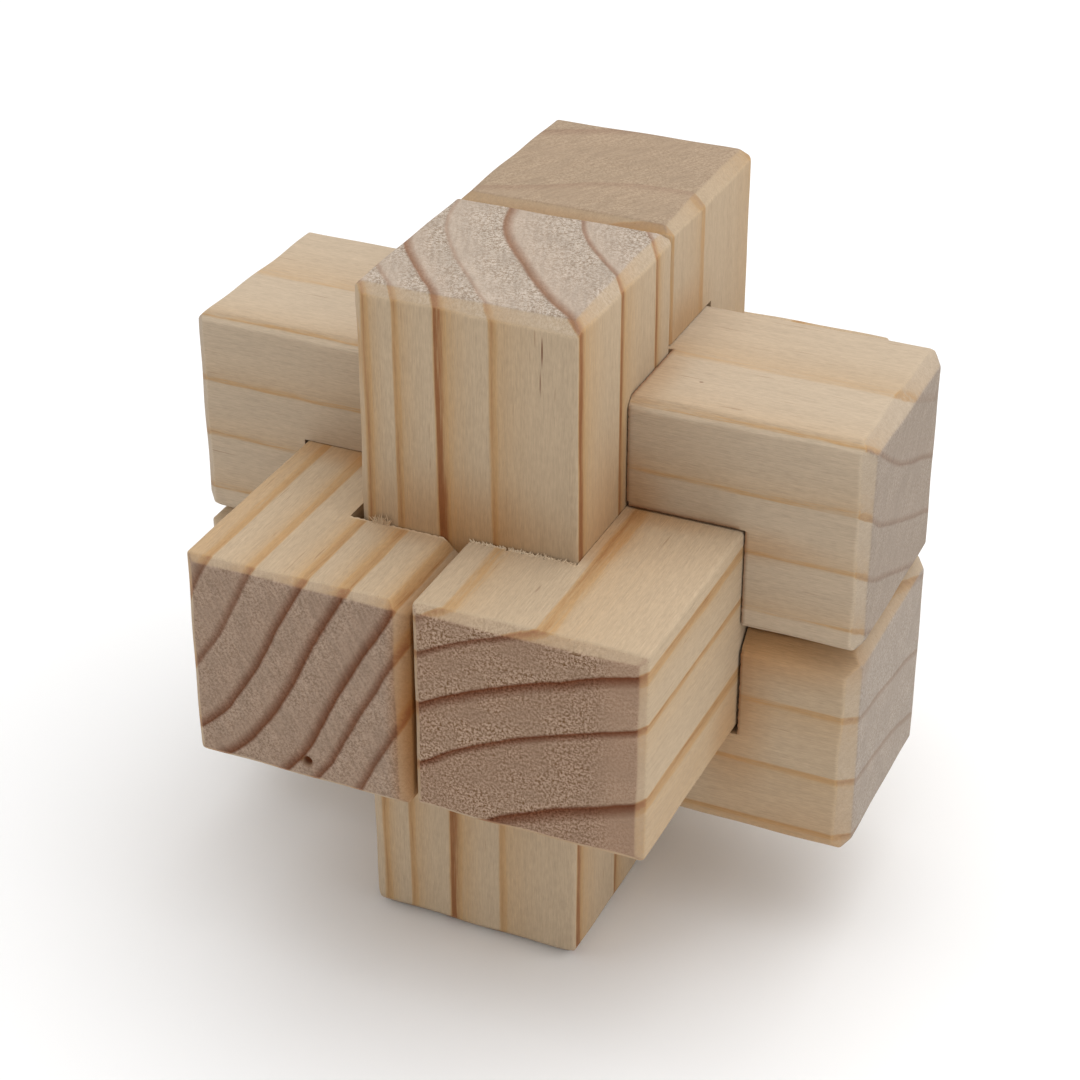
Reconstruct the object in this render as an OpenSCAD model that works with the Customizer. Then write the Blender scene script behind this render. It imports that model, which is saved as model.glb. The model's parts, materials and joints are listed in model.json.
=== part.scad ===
// Six-stick wooden burr puzzle, assembled.
// Two sticks run each way: two stand upright, two lie left to right, two lie front to back.
// Each crossing is shared out between the sticks as cubes of half a stick's pitch, and every
// notch is a block of such cubes. The front upright stick has no notch: it is the key, and it
// slides out along +Z. The other five then come apart one at a time.
// Hand-cut sticks lie a little loose, so four of them take up part of the gap, and the two that
// lie front to back were sawn a little too wide.
// Origin at the middle of the puzzle, +Z up, +Y towards the back.

/* [Sticks] */
// Distance between the middles of two sticks that lie side by side
pitch = 20; // [12:0.5:40]
// Gap between any two sticks, side by side or in a notch
gap = 0.4; // [0.35:0.05:0.8]
// Length of a stick from end to end, as a number of pitches
length_in_pitches = 3.1; // [2.4:0.05:4]
// Extra width of the two front-to-back sticks, on their outer sides
through_extra = 0.4; // [0:0.1:0.8]
// How much too deep the left stick's notch was sawn
left_notch_deeper = 0.4; // [0:0.1:0.8]

/* [Slack taken up] */
// How far the left stick has settled in its notches
left_settles = 0.3; // [0:0.05:0.3]
// How far the right stick has been pushed outwards
right_pushed = 0.1; // [0:0.05:0.3]
// How far the upper stick rides up
upper_rides = 0.3; // [0:0.05:0.3]
// How far the back stick has moved to the left
back_moved = 0.2; // [0:0.05:0.3]

/* [Sanded edges] */
// Chamfer round the two ends of a stick
end_chamfer = 1.1; // [0:0.1:2]
// Chamfer along the four long edges of a stick
edge_chamfer = 0.4; // [0:0.1:1.5]

/* [Hidden] */

unit = pitch / 2;
stick_w = pitch - gap;
stick_l = pitch * length_in_pitches;
past = 1;
pale_pine = [0.80, 0.70, 0.56];
warm_pine = [0.77, 0.65, 0.49];
grey_pine = [0.74, 0.65, 0.53];

// Outline of a rectangle w by h with its four corners cut off at 45 degrees
module cut_rectangle(w, h, cut) {
    polygon([
        [-w / 2 + cut, -h / 2], [w / 2 - cut, -h / 2],
        [w / 2, -h / 2 + cut], [w / 2, h / 2 - cut],
        [w / 2 - cut, h / 2], [-w / 2 + cut, h / 2],
        [-w / 2, h / 2 - cut], [-w / 2, -h / 2 + cut]
    ]);
}

// A whole stick, upright, about its own middle: one outline along each of its three directions.
// extra makes it wider from left to right.
module whole_stick(extra = 0) {
    intersection() {
        linear_extrude(stick_l, center = true)
            cut_rectangle(stick_w + extra, stick_w, edge_chamfer);
        rotate([90, 0, 0])
            linear_extrude(pitch + past, center = true)
                cut_rectangle(stick_w + extra, stick_l, end_chamfer);
        rotate([90, 0, 90])
            linear_extrude(pitch + past, center = true)
                cut_rectangle(stick_w, stick_l, end_chamfer);
    }
}

// Sticks in their places; at is the middle of the stick, in units
module upright(at) {
    translate(at * unit) whole_stick();
}

module left_to_right(at) {
    translate(at * unit) rotate([0, 90, 0]) whole_stick();
}

module front_to_back(at, extra) {
    translate(at * unit) rotate([90, 0, 0]) whole_stick(extra);
}

// A notch between two corners, in units, with half the gap all round. more_low and more_high
// move the two corners outwards, in millimetres.
module notch(low, high, more_low = [0, 0, 0], more_high = [0, 0, 0]) {
    spare = [gap, gap, gap] / 2;
    corner = low * unit - spare - more_low;
    translate(corner)
        cube(high * unit + spare + more_high - corner);
}

// Front upright stick, the key: solid, so it slides straight out
module key_stick() {
    color(warm_pine)
        upright([0, -1, 0]);
}

// Back upright stick: one notch across its front face above the middle and one below
module back_stick() {
    color(pale_pine)
        translate([-back_moved, 0, 0])
            difference() {
                upright([0, 1, 0]);
                for (side = [-1, 1])
                    notch([-1, 0, min(side, 2 * side)], [1, 1, max(side, 2 * side)]);
            }
}

// The two sticks that lie left to right: a long notch on the side that faces the middle,
// and a short one through the front for the key. face is 1 for the upper and -1 for the lower.
// The long notch is cut in two halves, and its left half is shallower by left_seat.
module cross_stick(face, left_seat = 0) {
    outwards = [through_extra, 0, 0];
    difference() {
        left_to_right([0, 0, face]);
        notch([-2, -1, min(0, face)], [0, 1, max(0, face)], outwards, [0, 0, -left_seat]);
        notch([0, -1, min(0, face)], [2, 1, max(0, face)], more_high = outwards);
        notch([-1, -1, min(0, 2 * face)], [1, 0, max(0, 2 * face)]);
    }
}

// The upper stick keeps the left one down, so its notch is that much shallower there
module upper_stick() {
    color(pale_pine)
        translate([0, 0, upper_rides]) cross_stick(1, upper_rides + left_settles);
}

module lower_stick() {
    color(grey_pine)
        cross_stick(-1);
}

// The two sticks that lie front to back: a long notch on the side that faces the middle.
// face is -1 for the left and 1 for the right, and deeper is how much too deep the notch was sawn.
module through_stick(face, deeper = 0) {
    difference() {
        translate([face * through_extra / 2, 0, 0])
            front_to_back([face, 0, 0], through_extra);
        notch([min(0, face), -2, -1], [max(0, face), 2, 1], [deeper, 0, 0]);
    }
}

module left_stick() {
    color(grey_pine)
        translate([0, 0, -left_settles]) through_stick(-1, left_notch_deeper);
}

module right_stick() {
    color(warm_pine)
        translate([right_pushed, 0, 0]) through_stick(1);
}

key_stick();
back_stick();
upper_stick();
lower_stick();
left_stick();
right_stick();
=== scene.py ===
# %% [markdown]
# # A six-stick burr puzzle in pine
# Six square pine sticks cross in the middle and lock each other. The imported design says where
# each stick lies and how the key slides. This lesson gives every stick its looks: hand-sanded
# edges, sawn notches with a few torn fibres, and solid wood with its own growth rings.

import json
import math

import bpy
import numpy as np
from mathutils import Matrix, Vector


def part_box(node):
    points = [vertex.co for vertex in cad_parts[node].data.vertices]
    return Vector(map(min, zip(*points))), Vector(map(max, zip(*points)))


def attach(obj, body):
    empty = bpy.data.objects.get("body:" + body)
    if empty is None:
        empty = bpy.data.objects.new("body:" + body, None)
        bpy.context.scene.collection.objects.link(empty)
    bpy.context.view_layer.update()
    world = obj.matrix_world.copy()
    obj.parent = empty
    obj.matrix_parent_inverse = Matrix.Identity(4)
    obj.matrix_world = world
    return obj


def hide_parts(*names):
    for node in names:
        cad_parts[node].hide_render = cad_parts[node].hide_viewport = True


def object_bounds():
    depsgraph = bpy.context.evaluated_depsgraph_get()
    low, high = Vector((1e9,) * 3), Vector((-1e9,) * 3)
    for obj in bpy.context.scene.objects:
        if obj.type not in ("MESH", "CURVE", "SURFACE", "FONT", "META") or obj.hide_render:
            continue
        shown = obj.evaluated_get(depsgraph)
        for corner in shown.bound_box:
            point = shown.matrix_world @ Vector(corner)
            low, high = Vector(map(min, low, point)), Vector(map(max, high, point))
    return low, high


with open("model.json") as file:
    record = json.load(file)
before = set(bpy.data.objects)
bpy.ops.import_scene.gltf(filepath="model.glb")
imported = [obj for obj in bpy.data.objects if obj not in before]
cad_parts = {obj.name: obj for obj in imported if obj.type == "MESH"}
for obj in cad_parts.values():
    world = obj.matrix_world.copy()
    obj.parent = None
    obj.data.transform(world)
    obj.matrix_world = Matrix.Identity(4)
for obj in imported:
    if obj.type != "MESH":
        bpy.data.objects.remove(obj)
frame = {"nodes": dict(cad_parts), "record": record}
cad_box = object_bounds()
MM = 0.001
print("sticks:", sorted(frame["nodes"]))

# %% [markdown]
# All sizes come from the frame. Two sticks stand side by side one pitch apart, and a stick is
# narrower than the pitch by the gap. Half a pitch is the unit that every notch is laid out in.


# %% Measure the sticks
def box_mm(node):
    """Lowest and highest corner of a stick, in millimetres."""
    low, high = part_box(node)
    return np.array(low) / MM, np.array(high) / MM


STICKS = ["key_stick", "back_stick", "upper_stick", "lower_stick", "left_stick", "right_stick"]
BODY_OF = {node: body for body, nodes in frame["record"]["behaviour"]["bodies"].items() for node in nodes}
BOXES = {node: box_mm(node) for node in STICKS}
MIDDLES = {node: (low + high) / 2 for node, (low, high) in BOXES.items()}
PITCH = MIDDLES["back_stick"][1] - MIDDLES["key_stick"][1]
UNIT = PITCH / 2
WIDTH = BOXES["key_stick"][1][0] - BOXES["key_stick"][0][0]
GAP = PITCH - WIDTH
EXTRA = BOXES["left_stick"][1][0] - BOXES["left_stick"][0][0] - WIDTH


def offset_of(node):
    """How far a loose stick has moved from the exact grid of units. It is measured at the faces
    that look to the middle of the puzzle, as the two through sticks are wider on the outside."""
    low, high = BOXES[node]
    side = np.round(MIDDLES[node] / UNIT)
    return np.where(side > 0, low - GAP / 2, np.where(side < 0, high + GAP / 2, MIDDLES[node]))


SEAT = offset_of("upper_stick")[2] - offset_of("left_stick")[2]
print(f"pitch {PITCH:.2f} mm, stick {WIDTH:.2f} mm square, gap {GAP:.2f} mm, seat {SEAT:.2f} mm")

# %% [markdown]
# ## A stick as a block of cells
# A notched stick could be cut with booleans, but those leave long thin faces that shade badly.
# Here the stick is a block of cells between ruled lines instead. Cells in a notch are left out,
# and the skin is every cell wall with wood on one side only. The lines crowd together near the
# edges, where the sanding will bend the surface, and stay wide apart on the flats.

# %% Ruled lines and cells
SHELL = 2.4        # how deep under the surface the sanding may reach
FINE = 0.1         # line spacing near an edge
COARSE = 1.1       # line spacing on the flats
TOO_CLOSE = 0.04   # a ruled line this near to an exact one is dropped


def rule(low, high, walls, close_up=()):
    """Line positions along one direction, from low to high. The spacing grows from FINE at
    either end to COARSE in the middle; walls are exact lines, and each close_up
    (start, end, spacing) adds a finely ruled stretch."""
    steps = FINE * np.arange(int(SHELL / FINE) + 2)
    flat = np.arange(low + steps[-1], high - steps[-1], COARSE)
    ruled = [low + steps, high - steps, flat]
    ruled += [np.arange(start, end, spacing) for start, end, spacing in close_up]
    ruled = np.concatenate(ruled)
    ruled = np.unique(ruled[(ruled > low) & (ruled < high)].round(4))
    exact = np.array([low, high, *walls])
    exact = np.unique(exact[(exact >= low) & (exact <= high)])
    far = np.abs(ruled[:, None] - exact[None]).min(1) > TOO_CLOSE
    kept = ruled[far]
    spaced = np.concatenate([[True], np.diff(kept) > TOO_CLOSE])
    return np.sort(np.concatenate([kept[spaced], exact]))


def cells(lines, notches):
    """True where a cell holds wood: everywhere, minus the cells whose middle is in a notch."""
    middles = np.meshgrid(*[(line[1:] + line[:-1]) / 2 for line in lines], indexing="ij")
    wood = np.ones(middles[0].shape, bool)
    for low, high in notches:
        inside = [(m > a) & (m < b) for m, a, b in zip(middles, low, high)]
        wood &= ~(inside[0] & inside[1] & inside[2])
    return wood


# %% The skin of the cells
def skin(lines, wood):
    """Corner points and quads of every wall between a cell with wood and a cell without.
    Walls across each direction are found by comparing the block with itself moved one cell
    along, and each quad runs anticlockwise seen from outside."""
    counts = np.array([len(line) for line in lines])
    quads = []
    for axis in range(3):
        padded = np.pad(wood.astype(np.int8), [(1, 1) if k == axis else (0, 0) for k in range(3)])
        change = np.diff(padded, axis=axis)
        for sign in (1, -1):
            corner = np.argwhere(change == sign)
            first, second = (axis + 1) % 3, (axis + 2) % 3
            square = np.zeros((4, 3), int)
            square[1, first] = square[2, first] = 1
            square[2, second] = square[3, second] = 1
            if sign == 1:
                square = square[::-1]
            quads.append(corner[:, None, :] + square[None])
    quads = np.concatenate(quads)
    flat = (quads[..., 0] * counts[1] + quads[..., 1]) * counts[2] + quads[..., 2]
    used, faces = np.unique(flat, return_inverse=True)
    x, rest = np.divmod(used, counts[1] * counts[2])
    y, z = np.divmod(rest, counts[2])
    points = np.stack([lines[0][x], lines[1][y], lines[2][z]], -1)
    return points, faces.reshape(-1, 4)


# %% [markdown]
# ## Sanding the edges
# The maker rubbed each end on sandpaper at about 45 degrees and then took the sharpness off the
# long edges. No two cuts are the same width, and each wavers along its length. A bevel modifier
# would give every edge the same width, so the cuts are worked out here, edge by edge.

# %% Sanded edges
SIDES = {
    "left": (0, -1), "right": (0, 1), "front": (1, -1),
    "back": (1, 1), "bottom": (2, -1), "top": (2, 1),
}
CRISPNESS = 50     # higher keeps the borders of a cut sharper
END_CUT = 1.05     # usual width of a cut round an end
LONG_CUT = 0.5     # usual width of a cut along a long edge


def wavering(cut, along, seed):
    """Width of a sanded cut along its edge: the plain width times one plus two slow sines."""
    slow = 0.08 * np.sin(along / 4.1 + 1.7 * seed)
    quick = 0.05 * np.sin(along / 1.3 + 2.9 * seed)
    return cut * (1 + slow + quick)


def sanded(points, low, high, long_axis, cuts, seed):
    """Moves the points of a sharp block onto the sanded one. Each point is split into the
    nearest point of a core, SHELL inside the block, and the step d from there. The step is
    shortened by (reach of the block) / (reach of the sanded block) along d. The sanded block is
    where six faces and twelve 45-degree planes all allow it, and a power mean of their limits
    rounds the borders a little."""
    core = np.clip(points, low + SHELL, high - SHELL)
    step = points - core
    block = np.abs(step).max(1) / SHELL
    total = (np.abs(step) / SHELL) ** CRISPNESS
    total = total.sum(1)
    names = sorted(SIDES)
    number = 0
    for i, one in enumerate(names):
        for other in names[i + 1:]:
            (a, sign_a), (b, sign_b) = SIDES[one], SIDES[other]
            if a == b:
                continue
            number += 1
            usual = LONG_CUT if long_axis not in (a, b) else END_CUT
            cut = cuts.get(f"{one} {other}", cuts.get(f"{other} {one}", usual))
            along = points[:, 3 - a - b]
            room_a = (high[a] - SHELL - core[:, a]) if sign_a > 0 else (core[:, a] - low[a] - SHELL)
            room_b = (high[b] - SHELL - core[:, b]) if sign_b > 0 else (core[:, b] - low[b] - SHELL)
            reach = 2 * SHELL - wavering(cut, along, seed + number) + room_a + room_b
            push = np.maximum(sign_a * step[:, a] + sign_b * step[:, b], 0)
            total += (push / reach) ** CRISPNESS
    limit = total ** (1 / CRISPNESS)
    share = np.where(limit > 1e-9, block / np.maximum(limit, 1e-9), 1)
    return core + step * share[:, None]


# %% [markdown]
# ## Marks of the saw
# Where the saw leaves the wood it tears some fibres. The edge of the notch then has small teeth,
# and thin slivers stand up from it. The teeth are made by moving the points of that edge, and
# each sliver is a tiny closed spike, so they are real geometry that catches the light.


# %% Ragged edges and slivers
RAGGED_REACH = 0.35   # how far from the edge the teeth fade away
TOOTH_SPACING = COARSE / 4   # a whole share of COARSE, so that both sets of lines coincide


def ragged(points, wall, rim, span, into, size, seed):
    """Teeth along one edge of a notch, and how torn each point is. wall and rim are (direction,
    position) of the sawn wall and of the face it meets, and the edge runs over span in the third
    direction. A point near the edge moves into the wood by size times a mix of three sines, and
    a little out of the face or into it."""
    (a, at_a), (b, at_b) = wall, rim
    along = points[:, 3 - a - b]
    away = np.hypot(points[:, a] - at_a, points[:, b] - at_b)
    fade = np.clip(1 - away / RAGGED_REACH, 0, 1)
    fade *= (along > span[0] - 0.05) & (along < span[1] + 0.05)
    outwards = np.sign(at_b - points[:, b].mean())
    teeth = 1.6 + np.sin(9.7 * along + seed) + 0.8 * np.sin(16.3 * along + 2 * seed)
    teeth += 0.6 * np.sin(4.1 * along - seed)
    points[:, a] += into * size * teeth * fade
    points[:, b] += outwards * 0.7 * size * np.sin(13.1 * along + 3 * seed) * fade
    return fade


def lines_for(edges):
    """Finely ruled stretches for a list of ragged edges: along each edge and beside its wall."""
    stretches = [[], [], []]
    for wall, rim, span, *_ in edges:
        stretches[3 - wall[0] - rim[0]].append((*span, TOOTH_SPACING))
        stretches[wall[0]].append((wall[1] - RAGGED_REACH, wall[1] + RAGGED_REACH, 0.12))
    return stretches


def slivers(roots, tips, thickness, bend):
    """Closed tapering spikes, one from each root to its tip. Ring k of a spike has its centre at
    share k of the way plus a bend that grows with the square of the share, and a radius that
    falls from thickness to almost nothing. Four sides, six rings, flat ends."""
    sides, rings = 4, 6
    share = np.linspace(0, 1, rings)
    turn = 2 * np.pi * np.arange(sides) / sides
    way = tips - roots
    way_unit = way / np.linalg.norm(way, axis=1, keepdims=True)
    across = np.cross(way_unit, [0.3, 0.5, 0.8])
    across /= np.linalg.norm(across, axis=1, keepdims=True)
    other = np.cross(way_unit, across)
    centre = roots[:, None] + share[None, :, None] * way[:, None] + (share**2)[None, :, None] * bend[:, None]
    radius = thickness[:, None] * (1 - 0.93 * share[None] ** 1.5)
    around = np.cos(turn)[:, None] * across[:, None] + np.sin(turn)[:, None] * other[:, None]
    points = centre[:, :, None] + radius[..., None, None] * around[:, None]
    k, j = np.meshgrid(np.arange(rings - 1), np.arange(sides), indexing="ij")
    nxt = (j + 1) % sides
    wall = np.stack([k * sides + j, k * sides + nxt, (k + 1) * sides + nxt, (k + 1) * sides + j], -1)
    ends = np.array([[3, 2, 1, 0], (rings - 1) * sides + np.arange(4)])
    one = np.concatenate([wall.reshape(-1, 4), ends])
    faces = one[None] + (np.arange(len(roots)) * rings * sides)[:, None, None]
    return points.reshape(-1, 3), faces.reshape(-1, 4)


# %% [markdown]
# ## Putting a stick together
# One function rules the lines, leaves out the notches, wraps the skin, sands the edges, adds any
# marks and writes the mesh. Faces meet smoothly where they bend gently and sharply at a notch.

# %% Stick maker
SHARP_ANGLE = math.radians(40)
SNUG = 0.1         # how much a fuller side takes from the gap
TIGHT = 0.22       # how much a close notch wall takes from the gap


def notch_boxes(node, notches):
    """Notches given in units as boxes in millimetres, half a gap wider all round. A notch may
    also give how much further out its low and its high corner lie."""
    moved, boxes = offset_of(node), []
    for low, high, *more in notches:
        more_low, more_high = more or (0, 0)
        boxes.append((
            np.array(low) * UNIT - GAP / 2 - more_low + moved,
            np.array(high) * UNIT + GAP / 2 + more_high + moved,
        ))
    return boxes


def fuller_box(node, sides):
    """The box of a stick with some of its sides moved out by SNUG."""
    low, high = (corner.copy() for corner in BOXES[node])
    for name in sides:
        axis, sign = SIDES[name]
        (high if sign > 0 else low)[axis] += sign * SNUG
    return low, high


def write_mesh(name, points, faces, torn):
    """A Blender object from points in millimetres and quads, with torn kept as an attribute."""
    mesh = bpy.data.meshes.new(name)
    mesh.from_pydata((points * MM).tolist(), [], faces.tolist())
    mesh.attributes.new("torn", "FLOAT", "POINT").data.foreach_set("value", torn.astype(np.float32))
    mesh.shade_smooth()
    mesh.set_sharp_from_angle(angle=SHARP_ANGLE)
    piece = bpy.data.objects.new(name, mesh)
    bpy.context.scene.collection.objects.link(piece)
    return piece


def make_stick(node, notches, cuts, seed, fuller=(), edges=(), close_up=((), (), ()), marks=None, extra=None):
    """The finished stick that stands for a CAD node."""
    low, high = fuller_box(node, fuller)
    boxes = notch_boxes(node, notches)
    stretches = lines_for(edges)
    lines = [
        rule(low[k], high[k], [b[side][k] for b in boxes for side in (0, 1)], [*close_up[k], *stretches[k]])
        for k in range(3)
    ]
    points, faces = skin(lines, cells(lines, boxes))
    points = sanded(points, low, high, int(np.argmax(high - low)), cuts, seed)
    torn = np.zeros(len(points))
    for number, edge in enumerate(edges):
        torn = np.maximum(torn, ragged(points, *edge, seed + number))
    if marks:
        points = marks(points)
    if extra:
        more_points, more_faces = extra
        faces = np.concatenate([faces, more_faces + len(points)])
        points = np.concatenate([points, more_points])
        torn = np.concatenate([torn, np.ones(len(more_points))])
    piece = write_mesh(node.replace("_stick", "_pine_stick"), points, faces, torn)
    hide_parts(node)
    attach(piece, BODY_OF[node])
    print(f"{piece.name}: {len(points)} points, {len(faces)} faces, {np.round(np.ptp(points, axis=0), 2)} mm")
    return piece


# %% [markdown]
# ## Solid pine
# The colour of wood is a pattern in space: a dark ring of late wood at the end of each year, bent
# round the pith. A stick sawn from the tree shows curved rings on its ends and long lines on its
# sides, and they meet at the edges. So the material works out a distance from the pith from
# Object coordinates, and both views of the rings come from that one number.

# %% Node helpers
COARSE_DETAIL = 2.0
FINE_DETAIL = 4.0


def put(tree, kind, **settings):
    """A new node with some of its settings given by name."""
    node = tree.nodes.new(kind)
    for key, value in settings.items():
        setattr(node, key, value)
    return node


def feed(tree, socket, value):
    """Links a socket or sets a plain number, colour or vector."""
    if isinstance(value, bpy.types.NodeSocket):
        tree.links.new(value, socket)
    else:
        socket.default_value = value


def sums(tree, operation, *values, clamp=False):
    """One Math node on sockets or numbers."""
    node = put(tree, "ShaderNodeMath", operation=operation, use_clamp=clamp)
    for socket, value in zip(node.inputs, values):
        feed(tree, socket, value)
    return node.outputs[0]


def between(tree, value, start, end, low=0.0, high=1.0, smooth=True):
    """Map Range: low at start, high at end, smoothly in between."""
    node = put(tree, "ShaderNodeMapRange", interpolation_type="SMOOTHSTEP" if smooth else "LINEAR")
    for socket, item in zip(node.inputs, (value, start, end, low, high)):
        feed(tree, socket, item)
    return node.outputs["Result"]


def blend_colour(tree, share, one, other, kind="MIX"):
    """A colour Mix node."""
    node = put(tree, "ShaderNodeMix", data_type="RGBA", blend_type=kind)
    feed(tree, node.inputs["Factor"], share)
    feed(tree, node.inputs["A"], one)
    feed(tree, node.inputs["B"], other)
    return node.outputs["Result"]


def flecks(tree, where, scales, detail, roughness=0.5, shift=0.0):
    """Noise from 0 to 1, squeezed by its own scale in each of the three grain directions."""
    stretch = put(tree, "ShaderNodeVectorMath", operation="MULTIPLY_ADD")
    feed(tree, stretch.inputs[0], where)
    feed(tree, stretch.inputs[1], scales)
    feed(tree, stretch.inputs[2], (shift, shift * 0.7, shift * 1.3))
    noise = put(tree, "ShaderNodeTexNoise", noise_dimensions="3D")
    feed(tree, noise.inputs["Vector"], stretch.outputs[0])
    feed(tree, noise.inputs["Scale"], 1.0)
    feed(tree, noise.inputs["Detail"], detail)
    feed(tree, noise.inputs["Roughness"], roughness)
    return noise.outputs["Fac"]


# %% [markdown]
# The rings themselves are a short list for each stick: radius, width and darkness of each dark
# band. A band builds up slowly through the summer and stops dead in autumn, so its edge is soft
# towards the pith and sharp away from it.


# %% Grain coordinates and rings
def grain_space(tree, across):
    """Coordinates in millimetres turned so that the last one runs along the fibres."""
    place = put(tree, "ShaderNodeTexCoord").outputs["Object"]
    scaled = put(tree, "ShaderNodeVectorMath", operation="SCALE")
    feed(tree, scaled.inputs[0], place)
    feed(tree, scaled.inputs["Scale"], 1 / MM)
    split = put(tree, "ShaderNodeSeparateXYZ")
    feed(tree, split.inputs[0], scaled.outputs[0])
    join = put(tree, "ShaderNodeCombineXYZ")
    order = [*across, 3 - sum(across)]
    for socket, axis in zip(join.inputs, order):
        feed(tree, socket, split.outputs[axis])
    return join.outputs[0], [split.outputs[axis] for axis in order]


def ring_distance(tree, where, grain, pith, middle, wave, drift, seed):
    """Distance from the pith, plus a slow sine around the ring for its gentle bends. The fibres
    drift a little from one end of the stick to the other, and two noises make them waver."""
    first, second, along = grain
    lean = [sums(tree, "MULTIPLY", along, drift[k]) for k in range(2)]
    first = sums(tree, "ADD", first, lean[0])
    second = sums(tree, "ADD", second, lean[1])
    out = np.array(middle) - np.array(pith)
    out = out / np.hypot(*out)
    east = sums(tree, "SUBTRACT", first, pith[0])
    north = sums(tree, "SUBTRACT", second, pith[1])
    squares = sums(tree, "MULTIPLY_ADD", north, north, sums(tree, "MULTIPLY", east, east))
    radius = sums(tree, "SQRT", squares)
    start = float(middle[0] * out[1] - middle[1] * out[0])
    around = sums(tree, "MULTIPLY_ADD", first, float(-out[1]), start)
    around = sums(tree, "MULTIPLY_ADD", second, float(out[0]), around)
    size, length, phase = wave
    angle = sums(tree, "MULTIPLY_ADD", around, 2 * math.pi / length, phase)
    bent = sums(tree, "MULTIPLY_ADD", sums(tree, "SINE", angle), size, radius)
    slow = flecks(tree, where, (0.16, 0.16, 0.03), COARSE_DETAIL, shift=seed)
    quick = flecks(tree, where, (1.6, 1.6, 0.12), COARSE_DETAIL, shift=seed + 5)
    bent = sums(tree, "MULTIPLY_ADD", sums(tree, "SUBTRACT", slow, 0.5), 0.7, bent)
    return sums(tree, "MULTIPLY_ADD", sums(tree, "SUBTRACT", quick, 0.5), 0.13, bent)


# A band as it darkens: how far before the ring, as a share of its width, and how dark there
BAND_RISE = ((1.0, 0.14), (0.5, 0.72), (0.12, 1.0))
BAND_DROP = 0.08   # millimetres in which it drops back to pale wood


def ring_bands(tree, distance, rings):
    """Two values from 0 to 1: how dark the late wood is, and how far the year has come. Both are
    in one ramp, which rises slowly to each ring and drops at once behind it."""
    start, end = rings[0][0] - 5, rings[-1][0] + 3
    place = between(tree, distance, start, end, smooth=False)
    ramp = put(tree, "ShaderNodeValToRGB")
    stops = []
    for radius, width, dark in rings:
        stops += [(radius - share * width, rise * dark, 1.0) for share, rise in BAND_RISE]
        stops += [(radius + BAND_DROP, 0.0, 0.0)]
    elements = ramp.color_ramp.elements
    for number, (radius, dark, year) in enumerate(stops):
        position = (radius - start) / (end - start)
        stop = elements[number] if number < 2 else elements.new(position)
        stop.position = position
        stop.color = (dark, year, 0, 1)
    feed(tree, ramp.inputs["Fac"], place)
    both = put(tree, "ShaderNodeSeparateColor")
    feed(tree, both.inputs[0], ramp.outputs["Color"])
    return both.outputs[0], both.outputs[1]


# %% [markdown]
# Long grain and end grain take the light very differently. Along the sides the fibres lie flat:
# the wood is pale and silky, with faint streaks. On an end the fibres are cut across and their
# open mouths swallow light: the wood is greyer and darker, speckled, and the rings turn brown.
# How squarely a surface cuts the fibres decides the mix.


# %% Long grain and end grain
def swing(tree, noise, reach, size):
    """Noise turned into a number around zero: minus size to plus size over 0.5 -/+ reach."""
    return between(tree, noise, 0.5 - reach, 0.5 + reach, -size, size)


def long_grain(tree, where, late, year, squareness, tint, seed):
    """Pale early wood, honey then orange-brown towards each ring, with fibres and resin canals.
    Where a chamfer cuts the fibres at a slant, the rings show strongly and in their own tone."""
    fine = flecks(tree, where, (8.0, 8.0, 0.35), FINE_DETAIL, roughness=0.6, shift=seed + 17)
    hairs = flecks(tree, where, (16.0, 16.0, 1.3), COARSE_DETAIL, shift=seed + 23)
    broken = flecks(tree, where, (2.2, 2.2, 0.12), COARSE_DETAIL, shift=seed + 13)
    slanted = between(tree, squareness, 0.4, 0.68)
    strength = between(tree, slanted, 0.0, 1.0, tint["side_rings"], 1.1, smooth=False)
    strength = sums(tree, "MULTIPLY", strength, between(tree, broken, 0.3, 0.62, tint["broken"], 1.1))
    strength = sums(tree, "ADD", strength, swing(tree, fine, 0.2, 0.22))
    lined = sums(tree, "MULTIPLY", late, strength, clamp=True)
    summer = sums(tree, "MULTIPLY", sums(tree, "POWER", year, 3.0), tint["summer"])
    warmth = sums(tree, "ADD", between(tree, lined, 0.0, 0.4), summer, clamp=True)
    colour = blend_colour(tree, warmth, tint["pale"], tint["honey"])
    dark = blend_colour(tree, slanted, tint["amber"], tint["slant"])
    colour = blend_colour(tree, between(tree, lined, 0.2, 1.0), colour, dark)
    wide = flecks(tree, where, (0.75, 0.75, 0.03), COARSE_DETAIL, shift=seed + 11)
    mottle = flecks(tree, where, (2.5, 2.5, 1.6), COARSE_DETAIL, shift=seed + 29)
    light = sums(tree, "ADD", swing(tree, wide, 0.25, 0.022), 1.0)
    light = sums(tree, "ADD", light, swing(tree, fine, 0.2, 0.055))
    light = sums(tree, "ADD", light, swing(tree, hairs, 0.2, 0.06))
    light = sums(tree, "ADD", light, swing(tree, mottle, 0.25, 0.025))
    colour = blend_colour(tree, 1.0, colour, light, "MULTIPLY")
    canals = flecks(tree, where, (4.6, 4.6, 0.15), COARSE_DETAIL, shift=seed + 31)
    colour = blend_colour(tree, between(tree, canals, 0.70, 0.78, 0.0, 0.5), colour, tint["canal"])
    height = sums(tree, "MULTIPLY_ADD", fine, 0.6, sums(tree, "MULTIPLY", hairs, 0.4))
    return colour, height


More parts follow.
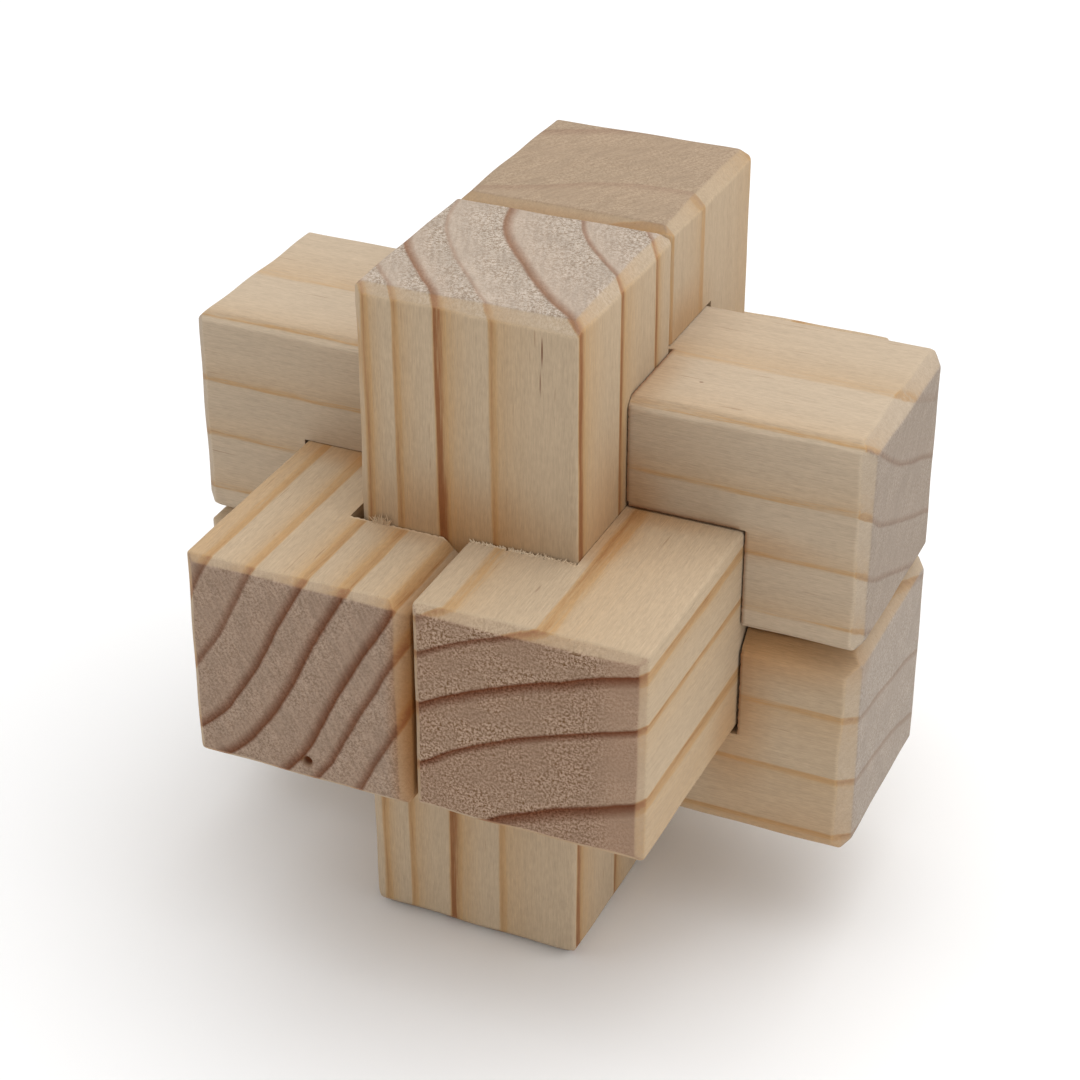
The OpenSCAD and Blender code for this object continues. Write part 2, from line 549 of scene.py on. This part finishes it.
def saw_hatch(tree, where, angle, seed):
    """Short fine scratches that lie side by side at an angle across the end: noise that changes
    quickly across the scratches and slowly along them."""
    turn = math.radians(angle)
    wobble = flecks(tree, where, (0.5, 0.5, 0.5), COARSE_DETAIL, shift=seed + 53)
    across_way, along_way = (math.sin(turn), -math.cos(turn), 0), (math.cos(turn), math.sin(turn), 0)
    lines = put(tree, "ShaderNodeCombineXYZ")
    for socket, way, scale in ((0, across_way, 3.9), (1, along_way, 0.5)):
        reading = put(tree, "ShaderNodeVectorMath", operation="DOT_PRODUCT")
        feed(tree, reading.inputs[0], where)
        feed(tree, reading.inputs[1], way)
        feed(tree, lines.inputs[socket], sums(tree, "MULTIPLY_ADD", reading.outputs["Value"], scale, wobble))
    return flecks(tree, lines.outputs[0], (1.0, 1.0, 1.0), COARSE_DETAIL, shift=seed + 59)


def end_grain(tree, where, late, year, tint, seed):
    """Grey-pink early wood and brown rings, speckled, with the fine hatch of the saw. The wood is
    roughest just after a ring and grows smooth and pale towards the next one. The specks are
    brown where fibres are torn out and greyish where they stand."""
    colour = blend_colour(tree, between(tree, late, 0.0, 1.0, smooth=False), tint["end"], tint["ring"])
    speck = flecks(tree, where, (4.3, 4.3, 1.2), FINE_DETAIL, roughness=0.9, shift=seed + 41)
    cloud = flecks(tree, where, (0.32, 0.32, 0.32), COARSE_DETAIL, shift=seed + 47)
    hatch = saw_hatch(tree, where, tint["saw_angle"], seed)
    smooth = sums(tree, "MULTIPLY", sums(tree, "POWER", year, 1.5), tint["yearly"])
    rough = sums(tree, "SUBTRACT", 1.0, sums(tree, "MULTIPLY", smooth, 0.75))
    rough = sums(tree, "MULTIPLY", rough, between(tree, cloud, 0.32, 0.6, 0.55, 1.15))
    if tint["smooth_from"]:
        side = put(tree, "ShaderNodeSeparateXYZ")
        feed(tree, side.inputs[0], where)
        planed = between(tree, side.outputs[0], tint["smooth_from"] - 1.2, tint["smooth_from"] + 1.2)
        rough = sums(tree, "MULTIPLY", rough, sums(tree, "MULTIPLY_ADD", planed, -0.7, 1.0))
        smooth = sums(tree, "MULTIPLY_ADD", planed, 0.8, smooth)
    size = tint["speckle"]
    depth = sums(tree, "MULTIPLY_ADD", swing(tree, speck, 0.10, 0.5), rough, 0.5)
    hollow, proud = (1 - size, 1 - 1.25 * size, 1 - 1.5 * size, 1), (1 + size, 1 + size, 1 + size, 1)
    colour = blend_colour(tree, 1.0, colour, blend_colour(tree, depth, hollow, proud), "MULTIPLY")
    light = sums(tree, "ADD", swing(tree, hatch, 0.17, tint["hatch"]), 1.0)
    light = sums(tree, "ADD", light, swing(tree, cloud, 0.25, 0.05))
    light = sums(tree, "MULTIPLY_ADD", smooth, 0.10, light)
    colour = blend_colour(tree, 1.0, colour, light, "MULTIPLY")
    rough_height = sums(tree, "MULTIPLY", sums(tree, "MULTIPLY", speck, rough), 1.2)
    return colour, sums(tree, "MULTIPLY_ADD", hatch, 0.6, rough_height)


# %% [markdown]
# Small marks make wood look real: a resin streak, a dark speck, a pin hole. Each is a soft spot
# at a place on the stick, longer one way than the other. Larger and fainter orange spots are
# painted shade in the inner corners, where light bounced between the sticks turns orange and dim.


# %% Pine material
PINE = {
    "pale": (0.474, 0.363, 0.247, 1),
    "honey": (0.455, 0.29, 0.145, 1),
    "amber": (0.285, 0.14, 0.058, 1),
    "slant": (0.35, 0.18, 0.09, 1),
    "canal": (0.20, 0.105, 0.05, 1),
    "torn": (0.62, 0.49, 0.34, 1),
    "torn_share": 0.85,
    "end": (0.38, 0.31, 0.25, 1),
    "ring": (0.17, 0.09, 0.055, 1),
    "speckle": 0.15,
    "hatch": 0.06,
    "yearly": 0.3,
    "summer": 0.3,
    "side_rings": 0.6,
    "broken": 0.7,
    "saw_angle": 60,
    "smooth_from": 0.0,
}
STAIN = (0.12, 0.034, 0.011, 1)
# Painted shade: an orange darkening for the inner corners, standing in for light bounced between the sticks
ORANGE_PAINTED_SHADE = (0.90, 0.70, 0.50, 1)


def spots(tree, colour, marks, edge, tone, kind):
    """Soft spots on a colour. Each mark is a middle, a reach in each direction and a strength.
    The distance from the middle is measured in reaches, and the spot fades from edge to one."""
    place = put(tree, "ShaderNodeTexCoord").outputs["Object"]
    for middle, reach, strength in marks:
        moved = put(tree, "ShaderNodeVectorMath", operation="SUBTRACT")
        feed(tree, moved.inputs[0], place)
        feed(tree, moved.inputs[1], [c * MM for c in middle])
        squeezed = put(tree, "ShaderNodeVectorMath", operation="DIVIDE")
        feed(tree, squeezed.inputs[0], moved.outputs[0])
        feed(tree, squeezed.inputs[1], [c * MM for c in reach])
        length = put(tree, "ShaderNodeVectorMath", operation="LENGTH")
        feed(tree, length.inputs[0], squeezed.outputs[0])
        share = between(tree, length.outputs["Value"], 1.0, edge, 0.0, strength)
        colour = blend_colour(tree, share, colour, tone, kind)
    return colour


def pine(name, across, pith, middle, wave, drift, rings, seed, marks=(), painted_corner_shade=(), **own):
    """The whole material of one stick."""
    tint = {**PINE, **own}
    material = bpy.data.materials.new(name)
    material.use_nodes = True
    tree = material.node_tree
    shader = tree.nodes["Principled BSDF"]
    where, grain = grain_space(tree, across)
    distance = ring_distance(tree, where, grain, pith, middle, wave, drift, seed)
    late, year = ring_bands(tree, distance, rings)
    facing = put(tree, "ShaderNodeSeparateXYZ")
    feed(tree, facing.inputs[0], put(tree, "ShaderNodeTexCoord").outputs["Normal"])
    squareness = sums(tree, "ABSOLUTE", facing.outputs[3 - sum(across)])
    side_colour, side_height = long_grain(tree, where, late, year, squareness, tint, seed)
    end_colour, end_height = end_grain(tree, where, late, year, tint, seed)
    end_share = between(tree, squareness, 0.58, 0.93)
    colour = blend_colour(tree, end_share, side_colour, end_colour)
    # Torn rims take their own colour: pale for the torn fibres of the through sticks, and painted joint shade
    # on the cross sticks
    torn = put(tree, "ShaderNodeAttribute", attribute_name="torn").outputs["Fac"]
    torn = sums(tree, "MULTIPLY", torn, tint["torn_share"])
    colour = blend_colour(tree, torn, colour, tint["torn"])
    # Painted shade: orange darkening multiplied into the inner corners of each stick
    colour = spots(tree, colour, painted_corner_shade, 0.1, ORANGE_PAINTED_SHADE, "MULTIPLY")
    feed(tree, shader.inputs["Base Color"], spots(tree, colour, marks, 0.3, STAIN, "MIX"))
    rough = sums(tree, "MULTIPLY_ADD", end_share, 0.2, 0.58)
    rough = sums(tree, "MULTIPLY_ADD", side_height, 0.16, rough)
    feed(tree, shader.inputs["Roughness"], sums(tree, "MULTIPLY_ADD", late, -0.08, rough))
    shader.inputs["Specular IOR Level"].default_value = 0.08
    relief = put(tree, "ShaderNodeMix", data_type="FLOAT")
    feed(tree, relief.inputs["Factor"], end_share)
    feed(tree, relief.inputs["A"], sums(tree, "MULTIPLY_ADD", late, 0.5, side_height))
    end_relief = sums(tree, "MULTIPLY_ADD", late, 0.8, sums(tree, "MULTIPLY", end_height, 1.6))
    feed(tree, relief.inputs["B"], end_relief)
    bump = put(tree, "ShaderNodeBump")
    feed(tree, bump.inputs["Height"], relief.outputs["Result"])
    feed(tree, bump.inputs["Strength"], 0.5)
    feed(tree, bump.inputs["Distance"], 0.09 * MM)
    feed(tree, shader.inputs["Normal"], bump.outputs["Normal"])
    return material


def finish_stick(piece, material):
    """Gives a stick its wood."""
    piece.data.materials.clear()
    piece.data.materials.append(material)
    print(f"{piece.name} is made of {material.name}")


# %% [markdown]
# ## The key
# The key is the one stick without a notch, which is why it can slide out. Its rings run from
# corner to corner, and the sanding took most off the front left edge. A dark resin streak starts
# under its front right corner.

# %% Key stick
key_low, key_high = BOXES["key_stick"]
key = make_stick(
    "key_stick", notches=[], seed=1, fuller=("left", "right", "front", "back"),
    cuts={
        "top front": 1.0, "top right": 1.0, "top back": 1.1, "top left": 0.6, "front left": 1.0,
        "front right": 0.15, "bottom front": 1.25, "bottom left": 1.0, "bottom right": 1.0,
    },
)
finish_stick(key, pine(
    "key_pine", across=(0, 1), pith=(24.3, 6.5), middle=(0, -10), wave=(0.35, 22, 0.53),
    drift=(0.004, 0.003), seed=3.0, saw_angle=-68, speckle=0.36, yearly=1.0, side_rings=1.05,
    broken=0.8, summer=0.5,
    rings=[(15.9, 0.5, 0.7), (17.9, 0.5, 0.8), (23.0, 0.55, 0.9), (29.4, 1.05, 1.0),
           (34.2, 0.45, 0.55), (37.7, 0.9, 1.0), (40.6, 0.5, 0.6), (42.6, 0.5, 0.6)],
    end=(0.40, 0.344, 0.29, 1), ring=(0.21, 0.118, 0.074, 1), amber=(0.25, 0.105, 0.043, 1),
    marks=[((6.8, key_low[1], key_high[2] - 2.8), (0.11, 0.8, 1.7), 0.8),
           ((6.65, key_low[1], key_high[2] - 5.6), (0.09, 0.8, 1.5), 0.6)],
    # painted shade: orange darkening where this stick meets its neighbours
    painted_corner_shade=[((0, -20, 9), (13, 3, 9), 0.85), ((10, -14, 8), (3, 7, 14), 0.7), ((0, -18, -10), (14, 6, 8), 0.7)],
))

# %% [markdown]
# ## The back stick
# It stands behind the key and has two notches across its front face.

# %% Back stick
back = make_stick(
    "back_stick", notches=[((-1, 0, 1), (1, 1, 2)), ((-1, 0, -2), (1, 1, -1))], seed=2, fuller=("front",),
    cuts={"top front": 0.8, "top back": 1.0},
)
finish_stick(back, pine(
    "back_pine", across=(0, 1), pith=(18.7, -53.5), middle=(0, 10), wave=(0.6, 20.7, -1.06),
    drift=(0.0, 0.012), seed=9.0, side_rings=0.5, slant=(0.37, 0.24, 0.14, 1),
    rings=[(55.5, 0.8, 0.6), (62.9, 1.4, 0.7), (75.5, 1.8, 0.9)],
    end=(0.362, 0.274, 0.193, 1), ring=(0.29, 0.20, 0.14, 1),
    # painted shade: orange darkening where this stick meets its neighbours
    painted_corner_shade=[((10, 3, 20), (3, 9, 6), 0.7), ((0, 0, 25), (12, 1.5, 12), 0.7)],
))

# %% [markdown]
# ## The two cross sticks
# The upper and the lower stick lie left to right. Each has a long notch on the side that faces
# the middle, and a short one through its front for the key. The left half of the upper stick's
# long notch is shallower, to hold the left stick down. The saw left small teeth where these
# notches meet the front and the top.

# %% Upper and lower stick
NOTCH_SIDE = UNIT + GAP / 2 - TIGHT
cross_front = BOXES["upper_stick"][0][1]
upper_low, upper_high = BOXES["upper_stick"]
LONG_END = 2 * UNIT + GAP / 2 + EXTRA
over_right = offset_of("upper_stick")[2] + SNUG
JOINT_PAINTED_SHADE = (0.21, 0.09, 0.037, 1)  # painted shade: the brown of the thin dark gaps, painted along the ragged rims of the joints
upper = make_stick(
    "upper_stick", seed=4,
    notches=[
        ((-2, -1, 0), (-1, 1, 1), (EXTRA - TIGHT, 0, 0), (0, 0, -SEAT - TIGHT)),
        ((-1, -1, 0), (0, 1, 1), (0, 0, 0), (0, 0, -SEAT)),
        ((0, -1, 0), (1, 1, 1)),
        ((1, -1, 0), (2, 1, 1), (0, 0, 0), (EXTRA - SNUG, 0, -over_right)),
        ((-1, -1, 0), (1, 0, 2), -TIGHT, -TIGHT),
    ],
    cuts={
        "top front": 0.86, "bottom front": 0.7, "top back": 0.6, "left top": 1.3,
        "right top": 1.3, "right front": 1.06, "right back": 1.35,
    },
    edges=[
        ((0, NOTCH_SIDE), (2, upper_high[2]), (cross_front, 0), 1, 0.02),
        ((0, NOTCH_SIDE), (1, cross_front), (UNIT, upper_high[2]), 1, 0.02),
        ((0, LONG_END - SNUG), (1, cross_front), (upper_low[2], UNIT), 1, 0.02),
        ((2, UNIT + SNUG), (1, cross_front), (UNIT, 2 * UNIT), 1, 0.015),
    ],
)
finish_stick(upper, pine(
    "upper_pine", across=(1, 2), pith=(69.6, 138.0), middle=(0, 10.3), wave=(-0.64, 37.2, 2.85),
    drift=(0.0, 0.004), seed=15.0, side_rings=0.38, broken=0.3, slant=(0.34, 0.21, 0.12, 1),
    # the ragged rims carry painted shade of the joint gaps, not the pale colour of torn fibres
    torn=JOINT_PAINTED_SHADE, torn_share=0.8,
    rings=[(131.3, 0.8, 0.05), (136.8, 1.0, 0.35), (142.0, 0.6, 0.7), (147.1, 0.6, 0.65), (151.7, 0.6, 0.65),
           (156.3, 0.6, 0.6)],
    pale=(0.49, 0.39, 0.284, 1), end=(0.342, 0.285, 0.235, 1), ring=(0.22, 0.145, 0.105, 1),
    marks=[((14.4, -4.7, upper_high[2]), (0.26, 0.2, 1.0), 0.5)],
    # painted shade: orange darkening where this stick meets its neighbours
    painted_corner_shade=[((10, -10, 10), (5, 3, 7), 0.8), ((18, -10, 9), (12, 3, 2.5), 0.5),
          ((10, -5, 20), (3.5, 9, 2), 0.5), ((-12, -10, 10), (12, 3, 4), 0.2)],
))
lower = make_stick(
    "lower_stick", seed=5,
    notches=[
        ((-2, -1, -1), (0, 1, 0), (EXTRA, 0, 0), (0, 0, 0)),
        ((0, -1, -1), (2, 1, 0), (0, 0, -SNUG), (EXTRA, 0, 0)),
        ((-1, -1, -2), (1, 0, 0), -TIGHT, -TIGHT),
    ],
    cuts={
        "top front": 1.7, "bottom front": 0.77, "right top": 1.0, "right front": 1.3, "right bottom": 0.9,
    },
    edges=[((0, LONG_END), (1, cross_front), (-UNIT, 0), 1, 0.025)],
)
finish_stick(lower, pine(
    "lower_pine", across=(1, 2), pith=(-19.5, -97.4), middle=(0, -9.9), wave=(0.2, 25.0, 0.0),
    drift=(0.0, 0.006), seed=21.0, side_rings=0.6, broken=0.5, slant=(0.32, 0.18, 0.09, 1),
    # the ragged rims carry painted shade of the joint gaps, not the pale colour of torn fibres
    torn=JOINT_PAINTED_SHADE, torn_share=0.8,
    rings=[(80.2, 0.7, 0.7), (86.0, 0.7, 0.7), (92.3, 0.7, 0.7), (100.0, 0.7, 0.6)],
    end=(0.37, 0.317, 0.27, 1), ring=(0.25, 0.175, 0.13, 1),
    # painted shade: orange darkening where this stick meets its neighbours
    painted_corner_shade=[((22, -9, -0.5), (14, 5, 5), 1.0), ((20, -10, -8), (5, 3, 12), 0.7),
          ((26, -10, -20), (16, 4, 8), 0.4)],
))

# %% [markdown]
# ## The two through sticks
# The left and the right stick run from front to back, and their front ends face the viewer. The
# left one has a pin hole in its front end and a tuft of splinters at its notch.

# %% Left stick
PIN_HOLE = (-9.6, -7.9)   # middle of the pin hole across the front end
PIN_RADIUS = 0.42
PIN_DEPTH = 0.5
NOTCH_FRONT = -2 * UNIT - GAP / 2 + TIGHT
LEFT_DEEPER = 0.4         # its notch was sawn this much too deep
draw = np.random.default_rng(7)
left_low, left_high = BOXES["left_stick"]
left_top = left_high[2] + SNUG


def pin_hole(points):
    """Presses a small hole into the front end: depth falls off with the fourth power of the
    distance from its middle."""
    away = np.hypot(points[:, 0] - PIN_HOLE[0], points[:, 2] - PIN_HOLE[1])
    on_end = points[:, 1] < left_low[1] + 0.02
    points[:, 1] += np.where(on_end, PIN_DEPTH * np.exp(-(away / PIN_RADIUS) ** 4), 0)
    return points


def fibres(count, start, end, way, spread, thick, curl):
    """Torn fibres rooted along a line from start to end. Each leans by way times a share from
    0.5 to 1, plus its own spread, and curls a little."""
    share = draw.uniform(0, 1, (count, 1))
    roots = np.array(start) * (1 - share) + np.array(end) * share
    tips = roots + np.array(way) * draw.uniform(0.5, 1.0, (count, 1)) + draw.normal(0, 1, (count, 3)) * spread
    bend = draw.normal(0, 1, (count, 3)) * curl
    return slivers(roots, tips, draw.uniform(*thick, count), bend)


tuft_place = (-7.7, NOTCH_FRONT - 0.15, left_top - 0.1)
splinters = fibres(
    30, np.add(tuft_place, (-0.6, 0, 0)), np.add(tuft_place, (0.7, 0, 0)), way=(0.15, -0.05, 1.1),
    spread=(0.24, 0.03, 0.12), thick=(0.08, 0.14), curl=(0.25, 0.03, 0.1),
)
around_pin = [(centre - 0.6, centre + 0.6, 0.08) for centre in PIN_HOLE]
left = make_stick(
    "left_stick", seed=6, fuller=("top", "left"),
    notches=[((-1, -2, -1), (0, 2, 1), (LEFT_DEEPER, -TIGHT, 0), (0, -TIGHT, 0))],
    cuts={
        "front top": 0.7, "front left": 0.83, "front bottom": 0.9, "top right": 1.7, "top left": 0.3,
    },
    edges=[((1, NOTCH_FRONT), (2, left_top), (-UNIT - LEFT_DEEPER, left_high[0]), -1, 0.03)],
    close_up=([around_pin[0]], [], [around_pin[1]]), marks=pin_hole, extra=splinters,
)
finish_stick(left, pine(
    "left_pine", across=(0, 2), pith=(-44.9, 24.0), middle=(-10, -0.5), wave=(0.85, 31.6, 0.51),
    drift=(0.0, 0.0), seed=27.0, saw_angle=-62, hatch=0.09, speckle=0.24, yearly=0.5,
    side_rings=0.55, summer=0.45,
    rings=[(31.5, 0.9, 0.8), (35.2, 0.9, 0.8), (39.4, 1.0, 0.95), (42.7, 1.1, 1.0), (46.6, 1.1, 1.0),
           (48.9, 0.9, 0.95), (52.2, 0.9, 0.9)],
    end=(0.33, 0.243, 0.182, 1), ring=(0.125, 0.045, 0.02, 1),
    marks=[((PIN_HOLE[0], left_low[1] + 0.6, PIN_HOLE[1]), (0.8, 2.2, 0.8), 1.0)],
    # painted shade: orange darkening where this stick meets its neighbours
    painted_corner_shade=[((0.5, -29, -3), (3, 18, 22), 1.0), ((-14, -10, 9.5), (10, 4, 2.5), 0.8),
          ((0.2, -27, 0), (2.6, 16, 22), 1.0), ((-5, -20, 10), (7, 3, 2), 0.4)],
))

# %% [markdown]
# The right stick was cut with a blunt saw. Its front end is rough and dark, and torn fibres stand
# along the front edge of its notch.

# %% Right stick
right_low, right_high = BOXES["right_stick"]
right_top = right_high[2] + SNUG
fuzz_line = (NOTCH_FRONT - 0.16, right_top - 0.06)
fuzz = fibres(
    210, (0.5, *fuzz_line), (9.9, *fuzz_line), way=(0.0, 0.06, 0.22),
    spread=(0.14, 0.03, 0.08), thick=(0.07, 0.13), curl=(0.1, 0.02, 0.05),
)
right = make_stick(
    "right_stick", seed=8, fuller=("top", "bottom", "right"),
    notches=[((0, -2, -1), (1, 2, 1), -TIGHT, (-TIGHT - 0.12, -TIGHT, 0))],
    cuts={
        "front top": 0.83, "front left": 0.64, "front right": 0.74, "front bottom": 1.06,
        "top left": 0.2, "top right": 0.2, "bottom right": 0.7,
    },
    edges=[((1, NOTCH_FRONT), (2, right_top), (right_low[0], UNIT), -1, 0.11)],
    extra=fuzz,
)
finish_stick(right, pine(
    "right_pine", across=(0, 2), pith=(37.8, -61.4), middle=(10.5, 0), wave=(0.22, 23.8, 3.17),
    drift=(0.0, 0.0), seed=33.0, saw_angle=20, speckle=0.55, hatch=0.03, yearly=0.35, smooth_from=16.8,
    side_rings=0.6, summer=0.2,
    rings=[(60.8, 1.5, 1.0), (67.4, 0.75, 1.0), (72.2, 1.2, 1.0), (76.4, 0.65, 0.9), (79.3, 0.6, 0.6)],
    end=(0.318, 0.228, 0.167, 1), ring=(0.115, 0.036, 0.014, 1),
    marks=[((8.6, -24.7, right_high[2]), (0.14, 0.9, 0.5), 0.3)],
    # painted shade: orange darkening where this stick meets its neighbours
    painted_corner_shade=[((10, -15, 10), (4, 7, 2), 0.7), ((12, -10, 10), (10, 3, 2), 0.6), ((20, -12, -9), (3, 6, 8), 0.5)],
))

# %% [markdown]
# ## Floor, light and camera
# A pale floor and large soft lights, as on a product table. The light from above is strongest,
# so the tops are brightest, and the front faces are the darkest of the three that show.

# %% Floor
FLOOR_SIZE = 3.0
floor_z = cad_box[0].z
corners = FLOOR_SIZE / 2 * np.array([[-1, -1], [1, -1], [1, 1], [-1, 1]])
floor_mesh = bpy.data.meshes.new("floor")
floor_mesh.from_pydata([(x, y, floor_z) for x, y in corners], [], [(0, 1, 2, 3)])
floor = bpy.data.objects.new("floor", floor_mesh)
bpy.context.scene.collection.objects.link(floor)
paper = bpy.data.materials.new("white_paper")
paper.use_nodes = True
paper.node_tree.nodes["Principled BSDF"].inputs["Base Color"].default_value = (0.9, 0.9, 0.9, 1)
paper.node_tree.nodes["Principled BSDF"].inputs["Roughness"].default_value = 0.9
floor_mesh.materials.append(paper)


# %% Lights
def soft_light(name, place, size, power, colour=(1, 1, 1)):
    """A square area light that looks at the middle of the puzzle."""
    lamp = bpy.data.lights.new(name, "AREA")
    lamp.size = size
    lamp.energy = power
    lamp.color = colour
    holder = bpy.data.objects.new(name, lamp)
    holder.location = place
    holder.rotation_euler = (-Vector(place)).to_track_quat("-Z", "Y").to_euler()
    bpy.context.scene.collection.objects.link(holder)
    return holder


soft_light("overhead_light", (0.10, 0.15, 0.75), 1.1, 6.5)
soft_light("right_light", (0.8, -0.1, 0.35), 0.6, 1.4)
soft_light("front_light", (-0.9, -0.5, 0.35), 0.7, 1.3)
world = bpy.data.worlds.new("studio")
world.use_nodes = True
world.node_tree.nodes["Background"].inputs["Color"].default_value = (1, 1, 1, 1)
world.node_tree.nodes["Background"].inputs["Strength"].default_value = 0.565
bpy.context.scene.world = world
bpy.context.scene.view_settings.view_transform = "Standard"

# %% Camera
LENS = 87.6          # millimetres, on a 36 mm sensor
CAMERA_TURN = 24.0   # degrees round from straight ahead, to the right
CAMERA_RISE = 30.4   # degrees above the horizon
CAMERA_AWAY = 235.2  # millimetres from the point it looks at
AIM_LEFT = 2.04      # that point lies this far left of the origin, in the picture plane
AIM_DOWN = 0.79
turn, rise = math.radians(CAMERA_TURN), math.radians(CAMERA_RISE)
towards = Vector((math.sin(turn) * math.cos(rise), -math.cos(turn) * math.cos(rise), math.sin(rise)))
sideways = Vector((math.cos(turn), math.sin(turn), 0))
upwards = towards.cross(sideways)
aim = -AIM_LEFT * MM * sideways - AIM_DOWN * MM * upwards
camera_data = bpy.data.cameras.new("camera")
camera_data.lens = LENS
camera_data.sensor_width = 36
camera_data.clip_start = 0.01
camera = bpy.data.objects.new("camera", camera_data)
place = aim + towards * CAMERA_AWAY * MM
camera.matrix_world = Matrix.Translation(place) @ Matrix((sideways, upwards, towards)).transposed().to_4x4()
bpy.context.scene.collection.objects.link(camera)
bpy.context.scene.camera = camera
print("camera at", [round(c / MM, 1) for c in place], "mm")
